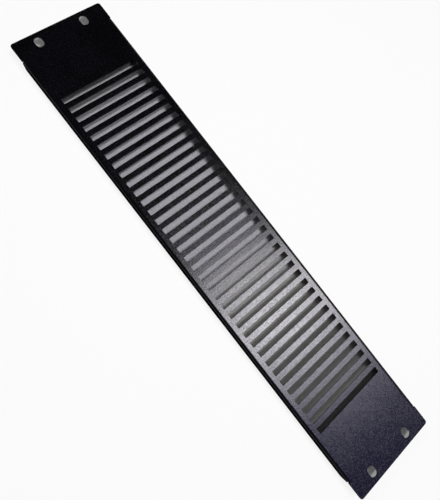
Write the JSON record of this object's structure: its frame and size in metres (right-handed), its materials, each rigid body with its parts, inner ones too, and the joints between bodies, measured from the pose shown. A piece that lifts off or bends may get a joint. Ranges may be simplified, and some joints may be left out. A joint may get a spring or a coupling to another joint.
{
  "type": "vented rack blanking panel",
  "caption": "Folded steel panel that closes an unused rack space, with cross vent slots, rear flanges along both long edges and slotted mounting ends",
  "frame": {"origin": "under the panel's centre, level with the free edges of both flanges, on which it lies face up", "axes": "+X along the panel, +Y across it over the vent slots' length, +Z out of the front face"},
  "size_m": [0.4826, 0.0888, 0.0127],
  "materials": {
    "powder_coat": "fine-textured black powder coat, semi-matt"
  },
  "bodies": {
    "root": {"panel": "powder_coat"}
  },
  "joints": []
}
